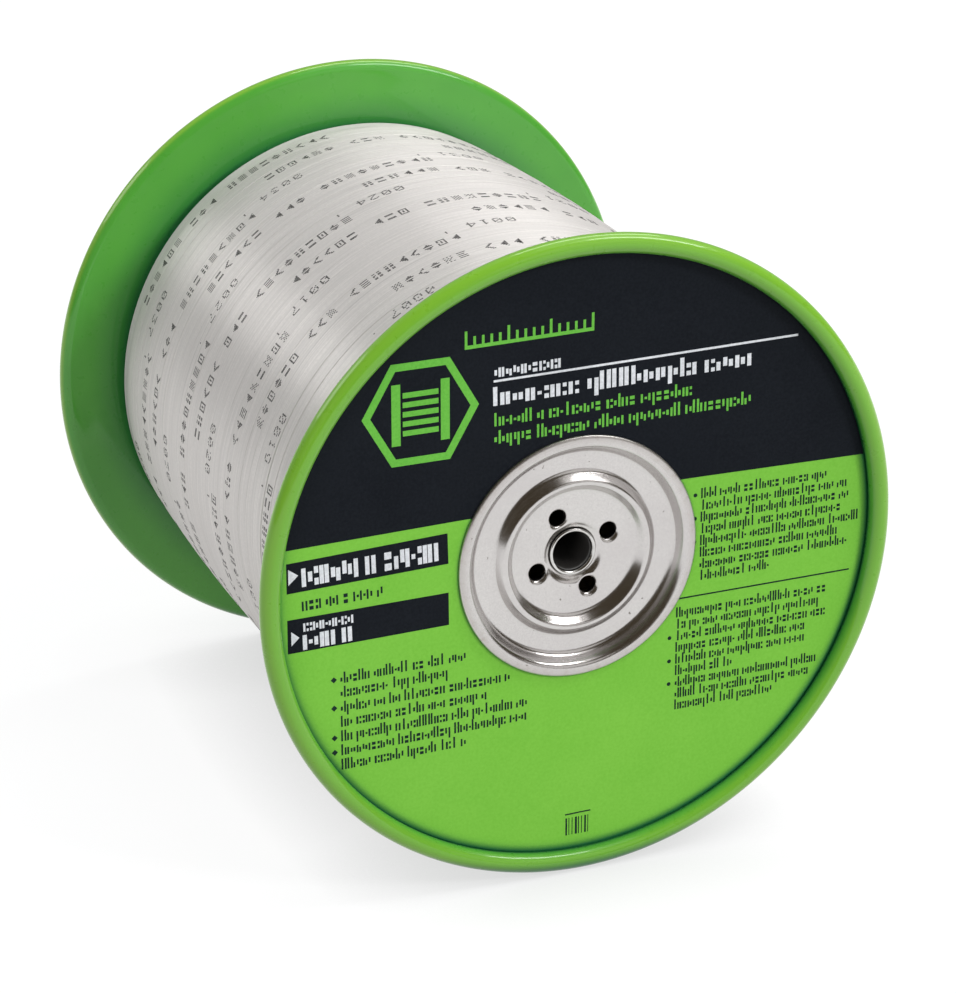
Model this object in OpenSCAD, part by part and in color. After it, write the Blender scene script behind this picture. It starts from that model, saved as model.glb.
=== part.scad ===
// Spool of flat polyester pulling and measuring tape: two pressed-steel
// flanges with curled rims on a board core, closed by two pressed hub plates
// that turn on a steel arbor tube.
// Frame: millimetres, origin at the centre of the reel on its axis, the axis
// along Y, the labelled front flange towards -Y, +Z up.

/* [Flanges] */
// Outside diameter of the two flanges
flange_d = 165; // [150:1:180]
// Width of the whole reel over the curled rims
reel_w = 167; // [150:1:180]
// Outside diameter of the curled rim bead
bead_d = 5; // [4:0.5:6]
// Thickness of the flange sheet
flange_t = 0.6; // [0.5:0.1:0.8]
// How far each flange is dished inwards at the middle
dish = 1.75; // [1.5:0.05:1.8]

/* [Hub plates] */
// Diameter of the pressed hub plate
hub_d = 62.5; // [61:0.5:64]
// Thickness of the hub plate sheet
hub_t = 0.8; // [0.6:0.1:0.8]
// Depth of the cup pressed into the hub plate
cup_depth = 3.5; // [3:0.1:3.5]
// Height of the stiffening ring in the hub plate
ring_h = 2.7; // [1.5:0.1:3]
// Diameter of the four drive holes
drive_d = 4.1; // [3:0.1:5]
// Pitch circle of the drive holes
drive_pcd = 20.3; // [20:0.1:24]
// Angle of the first drive hole, from +X towards +Z
drive_angle = 23.5; // [0:0.5:90]

/* [Arbor tube] */
// Bore of the arbor tube, for the spindle
arbor_bore_d = 9.8; // [9.6:0.1:10]
// Wall of the arbor tube
arbor_wall = 0.6; // [0.5:0.05:0.65]
// Radial running clearance between the tube and the hub plate collars
arbor_clear = 0.06; // [0.02:0.01:0.1]
// Length of the collar drawn in each hub plate
collar_l = 3.2; // [2:0.1:5]

/* [Core] */
// Outside diameter of the board core
core_d = 63.2; // [62:0.2:64]
// Wall of the board core
core_wall = 3; // [2:0.1:3]

/* [Tape] */
// Width of the flat tape
tape_w = 4.8; // [4:0.1:5.5]
// Thickness of the flat tape
tape_t = 0.4; // [0.3:0.05:0.5]
// Diameter of the wound pack at its middle
pack_d = 139; // [120:1:142]
// How much smaller the pack is in radius near the flanges
pack_crown = 2.6; // [1:0.1:4]
// Width of the crowned top of the pack
pack_top_w = 142.8; // [130:1:144]
// Length of the free end laid over the pack, in degrees
tail_angle = 64; // [30:1:90]

/* [Hidden] */
$fn = 96;

silver = [0.80, 0.79, 0.78];         // hub plates and wound tape

// Faces along the axis, as distances from the middle of the reel
half_w = reel_w / 2;
web_in = half_w - bead_d;            // tape side of the flange at its rim
web_out = web_in + flange_t;         // outer side of the flange at its rim
seat_out = web_out - dish;           // outer side of the flange at the hub
seat_in = seat_out - flange_t;       // tape side of the flange at the hub
hub_top = seat_out + 1.25;           // outer face of the hub plate's outer ring
cup = hub_top - cup_depth;           // outer face of the hub plate's flat floor

// Radii
bead_r = bead_d / 2;
bead_centre_r = flange_d / 2 - bead_r;
dish_inner_r = 33;                   // the dished cone runs between these two
dish_outer_r = 76;
flange_hole_r = 28.9;
hub_r = hub_d / 2;
arbor_r = arbor_bore_d / 2;
arbor_outer_r = arbor_r + arbor_wall;
collar_r = arbor_outer_r + arbor_clear;
core_r = core_d / 2;

// Tape side of the flange sheet at radius r
function inner_face(r) =
    r <= dish_inner_r ? seat_in :
    r >= dish_outer_r ? web_in :
    seat_in + dish * (r - dish_inner_r) / (dish_outer_r - dish_inner_r);

// Profiles are lists of [radius, distance along the axis].

function unit(v) = v / norm(v);
function reversed(path) = [for (i = [len(path) - 1 : -1 : 0]) path[i]];

// Closed outline from one half, the points between, and the half mirrored
function mirrored(half, between = []) =
    concat(half, between, reversed([for (p = half) [p[0], -p[1]]]));

// The open path with every corner between its ends replaced by a quadratic
// curve that starts and stops at most `reach` from the corner
function rounded(path, reach, steps = 3) = [
    for (i = [0 : len(path) - 1])
        if (i == 0 || i == len(path) - 1) path[i]
        else
            let (back = path[i - 1] - path[i],
                 ahead = path[i + 1] - path[i],
                 cut = min(reach, norm(back) * 0.45, norm(ahead) * 0.45),
                 start = path[i] + unit(back) * cut,
                 end = path[i] + unit(ahead) * cut)
            for (k = [0 : steps])
                let (t = k / steps)
                start * pow(1 - t, 2) + path[i] * 2 * t * (1 - t) + end * pow(t, 2)
];

// The path moved to its left by `distance`, with mitred corners
function shifted(path, distance) = [
    for (i = [0 : len(path) - 1])
        let (before = i == 0 ? unit(path[1] - path[0])
                             : unit(path[i] - path[i - 1]),
             after = i == len(path) - 1 ? before
                                        : unit(path[i + 1] - path[i]),
             normal_before = [-before[1], before[0]],
             normal_after = [-after[1], after[0]],
             mitre = unit(normal_before + normal_after))
        path[i] + mitre * (distance / (mitre * normal_before))
];

// A pressed sheet spun round the axis, its thickness to the left of the path
module spun_sheet(path, thickness) {
    rotate_extrude() polygon(concat(path, reversed(shifted(path, thickness))));
}

// Parts are drawn with the axis up and the front end as +Z, then turned so
// that +Z is -Y. The rear parts are the mirror image of the front ones.
module front() { rotate([90, 0, 0]) children(); }
module rear() { mirror([0, 1, 0]) rotate([90, 0, 0]) children(); }

// A strip bent round the axis: angles from +X towards +Z, radius of its
// inner face, distance of its middle towards the front
module strip(start, sweep, radius, width, thickness, middle = 0) {
    front() rotate([0, 0, start])
        rotate_extrude(angle = sweep)
            translate([radius, middle - width / 2])
                square([thickness, width]);
}

// ---- Flanges ----

// Tape side of the sheet: dished web, then the curled rim, which stops just
// short of the web
flange_line = concat(
    [[flange_hole_r, seat_in], [dish_inner_r, seat_in], [dish_outer_r, web_in]],
    [for (a = [-90 : 13 : 222])
        [bead_centre_r + bead_r * cos(a), half_w - bead_r + bead_r * sin(a)]]
);

module flange() { spun_sheet(flange_line, flange_t); }

module front_flange() { color([0.40, 0.72, 0.20]) front() flange(); }
module rear_flange() { color([0.34, 0.64, 0.22]) rear() flange(); }

// ---- Label: printed disc on the dished face of the front flange ----

label_t = 0.23;
label_gap = 0.02;
label_outer_r = dish_outer_r + 1.7;
label_line = [
    [flange_hole_r + 0.4, seat_out], [dish_inner_r, seat_out],
    [dish_outer_r, web_out], [label_outer_r, web_out]
];

module front_label() {
    color([0.45, 0.74, 0.24]) front() rotate_extrude() translate([0, label_gap])
        polygon(concat(label_line,
                       reversed([for (p = label_line) p + [0, label_t]])));
}

// ---- Hub plates ----

hub_bend = 0.7;                      // reach of the rounding at each bend
lip_wall = 0.5;
lip_h = 2;
lip_sink = 0.1;                      // top of a lip below the floor's face

// Outer face of the plate
hub_line = [
    [hub_r, hub_top - 0.95], [hub_r, hub_top - 0.35],       // turned-down edge
    [hub_r - 0.55, hub_top], [28.4, hub_top],               // outer ring
    [26.9, cup], [20.9, cup],                               // cup floor
    [19.5, cup + ring_h], [18.3, cup + ring_h],             // stiffening ring
    [16.6, cup], [8.0, cup],                                // floor with holes
    [6.9, cup - 0.85], [6.3, cup - 0.95],                   // step
    [collar_r, cup - 1.7], [collar_r, cup - 1.7 - collar_l] // collar
];

module at_drive_holes(z) {
    for (k = [0 : 3]) rotate([0, 0, drive_angle + 90 * k])
        translate([drive_pcd / 2, 0, z]) children();
}

module hub_plate() {
    difference() {
        union() {
            spun_sheet(rounded(hub_line, hub_bend), hub_t);
            // short lips drawn inwards round the drive holes
            at_drive_holes(cup - lip_sink - lip_h)
                cylinder(h = lip_h, r = drive_d / 2 + lip_wall);
        }
        at_drive_holes(cup - 4) cylinder(h = 8, r = drive_d / 2);
    }
}

module front_hub_plate() { color(silver) front() hub_plate(); }
module rear_hub_plate() { color(silver) rear() hub_plate(); }

// ---- Core: wound board tube between the flanges ----

core_half_l = seat_in - 0.05;        // a small gap to each flange

module core_tube() {
    color([0.62, 0.50, 0.36]) front()
        translate([0, 0, -core_half_l]) difference() {
            cylinder(h = 2 * core_half_l, r = core_r);
            translate([0, 0, -1])
                cylinder(h = 2 * core_half_l + 2, r = core_r - core_wall);
        }
}

// ---- Arbor: steel tube through both hub plates, flared to stay in ----

flare_face = cup - 0.25;             // outermost face of the flare
// One end of the tube wall, from the bore over the flare to the outside
flare = [
    [arbor_r, flare_face - 1.35], [arbor_r + 0.1, flare_face - 0.75],
    [arbor_r + 0.35, flare_face - 0.2], [arbor_r + 0.7, flare_face],
    [arbor_outer_r + 0.7, flare_face], [arbor_outer_r + 1, flare_face - 0.2],
    [arbor_outer_r + 1, flare_face - 0.35], [arbor_outer_r + 0.8, flare_face - 0.45],
    [arbor_outer_r + 0.25, flare_face - 0.8], [arbor_outer_r, flare_face - 1.5]
];

module arbor_tube() {
    color([0.72, 0.72, 0.72]) front() rotate_extrude() polygon(mirrored(flare));
}

// ---- Tape pack: one closed body, crowned top, rounded shoulders ----

pack_gap = 0.3;                      // from the flange, below the shoulder
// Side of the pack: radius, gap to the tape side of the flange
pack_side = [
    [core_r + 0.35, pack_gap], [44, pack_gap], [57, pack_gap],
    [60.5, 0.9], [63, 2.1], [65.2, 3.9]
];
pack_half = concat(
    [for (s = pack_side) [s[0], inner_face(s[0]) - s[1]]],
    [[66.5, pack_top_w / 2 + 0.8]]
);
crown_steps = 11;

// Radius of the pack's crowned top at distance y from its middle
function crown(y) = pack_d / 2 - pack_crown * pow(2 * y / pack_top_w, 2);

module tape_pack() {
    top = [for (i = [0 : crown_steps])
        let (y = pack_top_w * (0.5 - i / crown_steps)) [crown(y), y]];
    color(silver) front() rotate_extrude() polygon(mirrored(pack_half, top));
}

// ---- Tape ends ----

tail_y = 62;                         // middle of the free end, towards the front
tail_r = crown(tail_y - tape_w / 2) + 0.15;

// Outer free end of the tape, lying over the pack near the front flange
module tape_tail() {
    color([0.86, 0.85, 0.84])
        strip(start = 60, sweep = tail_angle, radius = tail_r,
              width = tape_w, thickness = tape_t, middle = tail_y);
}

// Adhesive tab across the free end
module tail_tab() {
    color([0.92, 0.91, 0.86])
        strip(start = 70, sweep = 11, radius = tail_r + tape_t + 0.08,
              width = 22, thickness = 0.15, middle = tail_y);
}

// Adhesive strip that holds the inner end of the tape to the core
module inner_tab() {
    color([0.90, 0.86, 0.70])
        strip(start = 200, sweep = 40, radius = core_r + 0.06,
              width = 24, thickness = 0.2);
}

front_flange();
front_label();
front_hub_plate();
rear_flange();
rear_hub_plate();
core_tube();
arbor_tube();
tape_pack();
tape_tail();
tail_tab();
inner_tab();
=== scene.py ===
import math
import random

import bmesh
import bpy
import numpy as np
from mathutils import Matrix, Vector
from mathutils.geometry import delaunay_2d_cdt


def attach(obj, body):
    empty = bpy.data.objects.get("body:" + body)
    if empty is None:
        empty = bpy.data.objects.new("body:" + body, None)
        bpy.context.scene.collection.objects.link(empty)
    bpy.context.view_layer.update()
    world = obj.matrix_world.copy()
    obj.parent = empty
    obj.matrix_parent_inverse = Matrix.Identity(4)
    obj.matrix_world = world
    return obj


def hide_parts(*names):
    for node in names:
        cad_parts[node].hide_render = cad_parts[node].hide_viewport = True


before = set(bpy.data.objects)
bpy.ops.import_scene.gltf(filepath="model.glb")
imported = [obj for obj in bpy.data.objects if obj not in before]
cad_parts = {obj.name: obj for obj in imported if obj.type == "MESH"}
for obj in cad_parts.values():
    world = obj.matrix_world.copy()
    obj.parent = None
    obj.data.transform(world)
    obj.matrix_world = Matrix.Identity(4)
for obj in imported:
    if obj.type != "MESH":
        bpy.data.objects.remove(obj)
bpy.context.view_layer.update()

MM = 0.001
TAU = 2 * math.pi

# ---------------------------------------------------------------- dimensions
# Millimetres. Profiles are (r, a): distance from the axis, distance outwards
# from the middle plane.
REEL_R = 82.5
HALF_WIDTH = 83.5
SHEET = 0.6                     # thickness of the flange sheet
BEAD = 2.5                      # radius of the curled rim
BEAD_R = REEL_R - BEAD          # centre of the curl
BEAD_A = HALF_WIDTH - BEAD
HOLE_R = 28.9                   # centre hole of a flange
SEAT = 77.35                    # outer face of the flange round its centre hole
WEB_IN = 78.5                   # inner face of the flange near its rim
WEB_OUT = WEB_IN + SHEET
DISH_R0, DISH_R1 = 33.0, 76.0   # the web is a cone between these

LABEL_LIFT = 0.25               # label's top face above the flange
LABEL_THICK = 0.23

HUB_R = 31.25
HUB_TOP = 78.6
CUP = 75.1                      # floor of the hub plate
RING = 2.3                      # height of the ring pressed in that floor
DRIVE_R, DRIVE_PCD, DRIVE_ANGLE = 2.05, 20.3, 23.5

PACK_R, PACK_CROWN, PACK_W = 69.5, 2.6, 142.8
TAPE_PITCH = 5.068              # sideways travel of the tape in one turn
TURN0, TURN0_Y = 122.0, -50.2   # the tape passes this y at this angle in degrees
FOOT_DEG = 253.3                # winding angle of one foot of tape
DEG_PER_MM = FOOT_DEG / 304.8


def cone(r, foot, rim):
    """A face that climbs from foot to rim over the dished part of the web."""
    if r <= DISH_R0:
        return foot
    if r >= DISH_R1:
        return rim
    return foot + (rim - foot) * (r - DISH_R0) / (DISH_R1 - DISH_R0)


def inner_face(r):
    return cone(r, SEAT - SHEET, WEB_IN)


def label_face(r):
    return cone(r, SEAT + LABEL_LIFT, WEB_OUT + LABEL_LIFT)


# ------------------------------------------------------------------ materials
def srgb(*channels):
    """Linear RGBA of an 8-bit colour."""
    def linear(value):
        value /= 255.0
        return value / 12.92 if value <= 0.04045 else ((value + 0.055) / 1.055) ** 2.4
    return tuple(linear(value) for value in channels) + (1.0,)


def shade(color, factor):
    return tuple(min(1, value * factor) for value in color[:3]) + (1.0,)


class Material:
    """A material with one Principled BSDF, and short ways to add nodes."""

    def __init__(self, name):
        self.data = bpy.data.materials.new(name)
        self.data.use_nodes = True
        self.tree = self.data.node_tree
        self.tree.nodes.clear()
        output = self.node("OutputMaterial")
        self.bsdf = self.node("BsdfPrincipled")
        self.tree.links.new(self.bsdf.outputs[0], output.inputs[0])
        self.coord = self.node("TexCoord").outputs["Object"]

    def node(self, kind):
        return self.tree.nodes.new("ShaderNode" + kind)

    def put(self, node, key, value):
        """Link a socket or set a value; None leaves the input alone."""
        if isinstance(value, bpy.types.NodeSocket):
            self.tree.links.new(value, node.inputs[key])
        elif value is not None:
            node.inputs[key].default_value = value

    def set(self, key, value):
        self.put(self.bsdf, key, value)

    def math(self, operation, first, second=None):
        node = self.node("Math")
        node.operation = operation
        self.put(node, 0, first)
        self.put(node, 1, second)
        return node.outputs[0]

    def add(self, first, second):
        return self.math("ADD", first, second)

    def subtract(self, first, second):
        return self.math("SUBTRACT", first, second)

    def multiply(self, first, second):
        return self.math("MULTIPLY", first, second)

    def stretch(self, *factors):
        """Object coordinates times a factor per axis."""
        node = self.node("VectorMath")
        node.operation = "MULTIPLY"
        self.put(node, 0, self.coord)
        node.inputs[1].default_value = factors
        return node.outputs[0]

    def polar(self):
        """x, y, z and the distance from the reel's axis, in metres."""
        node = self.node("SeparateXYZ")
        self.put(node, 0, self.coord)
        x, y, z = node.outputs
        return x, y, z, self.math("SQRT", self.add(self.multiply(x, x), self.multiply(z, z)))

    def join(self, x, y, z):
        node = self.node("CombineXYZ")
        for key, value in enumerate((x, y, z)):
            self.put(node, key, value)
        return node.outputs[0]

    def noise(self, vector, scale=1.0, detail=3.0, rough=0.55, distortion=0.0):
        node = self.node("TexNoise")
        self.put(node, "Vector", vector)
        node.inputs["Scale"].default_value = scale
        node.inputs["Detail"].default_value = detail
        node.inputs["Roughness"].default_value = rough
        node.inputs["Distortion"].default_value = distortion
        return node.outputs["Fac"]

    def span(self, factor, between, to=(0, 1), smooth=False):
        """Map the range between onto the range to, clamped."""
        node = self.node("MapRange")
        node.interpolation_type = "SMOOTHSTEP" if smooth else "LINEAR"
        node.clamp = True
        for key, value in enumerate((factor, *between, *to)):
            self.put(node, key, value)
        return node.outputs[0]

    def mix(self, factor, first, second):
        node = self.node("Mix")
        node.data_type = "RGBA"
        for key, value in ((0, factor), (6, first), (7, second)):
            self.put(node, key, value)
        return node.outputs[2]

    def bump(self, height, distance, strength, normal=None):
        node = self.node("Bump")
        node.inputs["Strength"].default_value = strength
        node.inputs["Distance"].default_value = distance
        self.put(node, "Height", height)
        self.put(node, "Normal", normal)
        return node.outputs[0]

    def hollow(self, reach, between):
        """1 deep in a fold, 0 in the open."""
        node = self.node("AmbientOcclusion")
        node.samples = 8
        node.inputs["Distance"].default_value = reach
        return self.span(node.outputs["AO"], between, to=(1, 0))


def paint_material():
    """Glossy sprayed enamel on pressed steel, with faint orange peel, a painted highlight on the
    curl and painted shade in the folds.
    """
    mat = Material("green_enamel")
    clouds = mat.noise(mat.coord, scale=22)
    fine = mat.noise(mat.coord, scale=900)
    peel = mat.noise(mat.coord, scale=420, detail=2)
    base = mat.mix(mat.span(clouds, between=(0.35, 0.65)), srgb(72, 149, 49), srgb(81, 159, 54))
    base = mat.mix(mat.span(fine, between=(0.62, 0.75), to=(0, 0.25)), base, srgb(84, 152, 52))
    x, y, z, r = mat.polar()
    # painted highlight: the curl and its crest are coloured lighter and yellower for the light
    # they catch; on the tape side only a thin line at the very edge
    outer = mat.span(mat.math("ABSOLUTE", y), between=(0.0794, 0.0802), smooth=True)
    curl = mat.multiply(mat.span(r, between=(0.0772, 0.0786), smooth=True), outer)
    base = mat.mix(mat.multiply(curl, 0.9), base, srgb(106, 163, 44))
    lit_crest_out = mat.multiply(mat.span(r, between=(0.0796, 0.0820), smooth=True), outer)
    lit_crest_in = mat.multiply(mat.span(r, between=(0.0816, 0.0824), to=(0, 0.8), smooth=True),
                            mat.subtract(1.0, outer))
    base = mat.mix(mat.multiply(mat.add(lit_crest_out, lit_crest_in), 0.45), base, srgb(126, 174, 44))
    # pin-head chips on the rim
    chip = mat.multiply(mat.span(mat.noise(mat.coord, scale=640, rough=0.6), between=(0.83, 0.85)),
                        mat.span(r, between=(0.0815, 0.0822)))
    # painted shade in the folds, a darker and bluer green: first the tight ones, then the wide
    # ones
    tight = mat.hollow(reach=0.005, between=(0.30, 0.78))
    base = mat.mix(mat.multiply(tight, 0.6), base, srgb(22, 104, 58))
    wide = mat.hollow(reach=0.014, between=(0.38, 0.86))
    base = mat.mix(mat.multiply(wide, 0.75), base, srgb(18, 92, 56))
    mat.set("Base Color", mat.mix(chip, base, srgb(90, 138, 62)))
    mat.set("Roughness", mat.span(peel, between=(0.3, 0.7), to=(0.26, 0.36)))
    mat.set("Specular IOR Level", 0.22)
    mat.set("Coat Weight", mat.subtract(0.65, mat.multiply(chip, 0.4)))
    mat.set("Coat Roughness", mat.span(peel, between=(0.3, 0.7), to=(0.04, 0.08)))
    mat.set("Normal", mat.bump(peel, distance=0.00001, strength=0.25))
    return mat.data


def ink(name, dark, light, specular, worn=None, fold=None):
    """Printed paper: even ink with paper grain and faint press mottling; a fold colour, if given,
    is painted shade by the curl.
    """
    mat = Material(name)
    grain = mat.noise(mat.coord, scale=1400, detail=4, rough=0.6)
    mottle = mat.noise(mat.coord, scale=60)
    tone = mat.add(mat.multiply(grain, 0.65), mat.multiply(mottle, 0.35))
    base = mat.mix(mat.span(tone, between=(0.36, 0.64)), dark, light)
    if worn:
        flecks = mat.noise(mat.coord, scale=2600, detail=2)
        base = mat.mix(mat.span(flecks, between=(0.66, 0.74), to=(0, 0.5)), base, worn)
    # painted shade: the paper turns a darker, bluer green in the fold by the curl
    if fold:
        deep = mat.hollow(reach=0.0036, between=(0.35, 0.88))
        base = mat.mix(mat.multiply(deep, 0.95), base, fold)
    mat.set("Base Color", base)
    mat.set("Roughness", mat.span(mottle, between=(0.35, 0.65), to=(0.46, 0.55)))
    mat.set("Specular IOR Level", specular)
    mat.set("Normal", mat.bump(grain, distance=0.000012, strength=0.25))
    return mat.data


def steel_material():
    """Bright plated steel: satin, with fine mottling, pits and hairlines."""
    mat = Material("plated_steel")
    fine = mat.noise(mat.coord, scale=2400, detail=4, rough=0.6)
    cloud = mat.noise(mat.coord, scale=45, detail=4, rough=0.6)
    x, y, z, r = mat.polar()
    turned = mat.join(mat.multiply(r, 2600), mat.multiply(x, 18), mat.multiply(z, 18))
    spun = mat.noise(turned, rough=0.6)
    base = mat.mix(mat.span(cloud, between=(0.35, 0.65)), srgb(203, 199, 198), srgb(211, 208, 206))
    base = mat.mix(mat.span(fine, between=(0.35, 0.68), to=(0.35, 0)), base, srgb(184, 181, 179))
    # the turned-down outer edge is duller and a little tarnished
    edge = mat.span(r, between=(0.0283, 0.0311), smooth=True)
    rust = mat.span(mat.noise(mat.coord, scale=420, detail=4, rough=0.7), between=(0.52, 0.72))
    base = mat.mix(mat.multiply(edge, 0.42), base, srgb(176, 170, 164))
    base = mat.mix(mat.multiply(mat.multiply(edge, rust), 0.35), base, srgb(138, 116, 96))
    pits = mat.noise(mat.coord, scale=700, detail=2, rough=0.4)
    base = mat.mix(mat.span(pits, between=(0.75, 0.79), to=(0, 0.75)), base, srgb(110, 104, 98))
    mat.set("Base Color", base)
    mat.set("Metallic", 1.0)
    mat.set("Roughness", mat.add(mat.span(cloud, between=(0.3, 0.7), to=(0.19, 0.24)),
                                 mat.multiply(edge, 0.14)))
    normal = mat.bump(fine, distance=0.000006, strength=0.22)
    mat.set("Normal", mat.bump(spun, distance=0.000002, strength=0.15, normal=normal))
    return mat.data


def arbor_material():
    """Bright steel tube with fine lines round it and a bore coloured dark as painted shade."""
    mat = Material("arbor_steel")
    x, y, z, r = mat.polar()
    around = mat.join(mat.multiply(x, 30), mat.multiply(y, 1500), mat.multiply(z, 30))
    lines = mat.noise(around, rough=0.6)
    mottle = mat.noise(mat.coord, scale=500)
    base = mat.mix(mat.span(lines, between=(0.35, 0.65)), srgb(196, 194, 191), srgb(222, 221, 219))
    base = mat.mix(mat.span(mottle, between=(0.6, 0.75), to=(0, 0.4)), base, srgb(150, 146, 142))
    # painted shade: the bore is coloured dark, duller and less metallic; the flared ends keep the
    # bright steel
    bore = mat.span(r, between=(0.00491, 0.00500), to=(1, 0))
    mat.set("Base Color", mat.mix(bore, base, srgb(58, 56, 54)))
    mat.set("Metallic", mat.subtract(1.0, mat.multiply(bore, 0.85)))
    mat.set("Roughness", mat.add(mat.span(lines, between=(0.3, 0.7), to=(0.14, 0.24)),
                                 mat.multiply(bore, 0.35)))
    mat.set("Normal", mat.bump(lines, distance=0.000006, strength=0.2))
    return mat.data


def tape_material(name, tone):
    """Woven polyester: satin, with fine warp lines that run round the pack."""
    mat = Material(name)
    warp = mat.noise(mat.stretch(34, 2700, 34), detail=4, rough=0.62)
    band = mat.noise(mat.stretch(16, 620, 16), rough=0.6)
    weft = mat.noise(mat.stretch(1500, 900, 1500), detail=2, rough=0.5)
    cloud = mat.noise(mat.stretch(20, 60, 20), rough=0.5)
    base = mat.mix(mat.span(warp, between=(0.34, 0.66)), shade(tone, 0.85), shade(tone, 1.13))
    base = mat.mix(mat.span(band, between=(0.38, 0.62), to=(0.4, 0)), base, shade(tone, 0.87))
    base = mat.mix(mat.span(weft, between=(0.35, 0.68), to=(0, 0.45)), base, shade(tone, 0.86))
    # a thin darker hairline here and there, where a yarn has rolled
    hair = mat.noise(mat.stretch(9, 1500, 9), detail=2, rough=0.4)
    base = mat.mix(mat.span(hair, between=(0.70, 0.76), to=(0, 0.35)), base, shade(tone, 0.55))
    mat.set("Base Color", base)
    mat.set("Roughness", mat.span(cloud, between=(0.35, 0.65), to=(0.40, 0.46)))
    mat.set("Specular IOR Level", 0.8)
    mat.set("Metallic", 0.27)
    mat.set("Anisotropic", 0.9)
    mat.set("Anisotropic Rotation", 0.25)
    around = mat.node("Tangent")
    around.direction_type = "RADIAL"
    around.axis = "Y"
    mat.set("Tangent", around.outputs[0])
    normal = mat.bump(band, distance=0.00006, strength=0.45)
    normal = mat.bump(warp, distance=0.000035, strength=0.6, normal=normal)
    mat.set("Normal", mat.bump(weft, distance=0.000012, strength=0.4, normal=normal))
    return mat.data


def pack_side_material(tone):
    """Edges of the wound tape: fine rings."""
    mat = Material("tape_edges")
    x, y, z, r = mat.polar()
    turned = mat.join(mat.multiply(r, 2300), mat.multiply(x, 9), mat.multiply(z, 9))
    rings = mat.noise(turned, rough=0.6)
    fuzz = mat.noise(mat.coord, scale=1300)
    base = mat.mix(mat.span(rings, between=(0.35, 0.65)), shade(tone, 0.78), tone)
    base = mat.mix(mat.span(fuzz, between=(0.4, 0.7), to=(0, 0.3)), base, shade(tone, 0.85))
    mat.set("Base Color", base)
    mat.set("Roughness", mat.span(fuzz, between=(0.3, 0.7), to=(0.55, 0.7)))
    mat.set("Normal", mat.bump(rings, distance=0.00008, strength=0.6))
    return mat.data


def print_material():
    """Jet-printed ink on the tape, faded in patches."""
    mat = Material("tape_print")
    patch = mat.noise(mat.stretch(150, 320, 150), rough=0.6)
    fine = mat.noise(mat.coord, scale=2600)
    base = mat.mix(mat.span(patch, between=(0.38, 0.66)), srgb(22, 20, 21), srgb(66, 63, 61))
    base = mat.mix(mat.span(fine, between=(0.55, 0.75), to=(0, 0.4)), base, srgb(104, 101, 98))
    mat.set("Base Color", base)
    mat.set("Roughness", mat.span(fine, between=(0.3, 0.7), to=(0.5, 0.65)))
    mat.set("Specular IOR Level", 0.3)
    mat.set("Normal", mat.bump(fine, distance=0.00001, strength=0.3))
    return mat.data


def board_material():
    """Spiral-wound grey-brown board."""
    mat = Material("core_board")
    x, y, z, r = mat.polar()
    angle = mat.math("ARCTAN2", z, x)
    turn = mat.math("FRACT", mat.add(mat.multiply(angle, 1 / TAU), mat.multiply(y, 14.0)))
    seam = mat.span(mat.math("ABSOLUTE", mat.subtract(turn, 0.5)), between=(0.0, 0.012), to=(1, 0))
    fibre = mat.noise(mat.stretch(500, 160, 500), detail=5, rough=0.65)
    fleck = mat.noise(mat.coord, scale=900)
    base = mat.mix(mat.span(fibre, between=(0.35, 0.65)), srgb(146, 120, 88), srgb(178, 152, 116))
    base = mat.mix(mat.span(fleck, between=(0.64, 0.74), to=(0, 0.6)), base, srgb(100, 80, 58))
    base = mat.mix(mat.multiply(seam, 0.7), base, srgb(90, 72, 52))
    mat.set("Base Color", base)
    mat.set("Roughness", mat.span(fibre, between=(0.3, 0.7), to=(0.8, 0.95)))
    mat.set("Normal", mat.bump(fibre, distance=0.00006, strength=0.5))
    return mat.data


def tab_material(name, dark, light):
    """Paper tape: fibre, slight creases and a little show-through."""
    mat = Material(name)
    fibre = mat.noise(mat.stretch(900, 900, 900), detail=5, rough=0.65)
    crease = mat.noise(mat.stretch(90, 260, 90), rough=0.5, distortion=1.5)
    base = mat.mix(mat.span(fibre, between=(0.35, 0.65)), dark, light)
    base = mat.mix(mat.span(crease, between=(0.56, 0.7), to=(0, 0.35)), base, shade(dark, 0.82))
    mat.set("Base Color", base)
    mat.set("Roughness", mat.span(fibre, between=(0.3, 0.7), to=(0.6, 0.8)))
    mat.set("Normal", mat.bump(mat.add(fibre, crease), distance=0.00004, strength=0.4))
    return mat.data


TAPE = srgb(218, 213, 209)
M_PAINT = paint_material()
# the label's fold colour is painted shade in the fold by the curl
M_LABEL = ink("label_green", srgb(113, 181, 61), srgb(123, 189, 69), specular=0.10,
              fold=srgb(14, 98, 66))
M_BLACK = ink("ink_black", srgb(18, 21, 26), srgb(26, 29, 34), specular=0.05)
M_WHITE = ink("ink_white", srgb(196, 198, 202), srgb(226, 228, 232), specular=0.2,
              worn=srgb(150, 152, 156))
M_GREEN = ink("ink_green", srgb(94, 170, 62), srgb(108, 184, 72), specular=0.1,
              worn=srgb(70, 130, 52))
M_TEXT = ink("ink_text", srgb(16, 30, 30), srgb(28, 46, 40), specular=0.1,
             worn=srgb(52, 92, 48))
M_STEEL = steel_material()
M_ARBOR = arbor_material()
M_TAPE = tape_material("woven_tape", TAPE)
M_TAIL = tape_material("woven_tape_end", shade(TAPE, 1.03))
M_EDGE = pack_side_material(shade(TAPE, 0.97))
M_PRINT = print_material()
M_BOARD = board_material()
M_TAB = tab_material("paper_tab", srgb(222, 216, 200), srgb(236, 232, 220))
M_STRIP = tab_material("adhesive_strip", srgb(206, 192, 150), srgb(222, 210, 172))


# ------------------------------------------------------------- mesh helpers
def link(name, mesh):
    ob = bpy.data.objects.new(name, mesh)
    bpy.context.scene.collection.objects.link(ob)
    return ob


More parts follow.
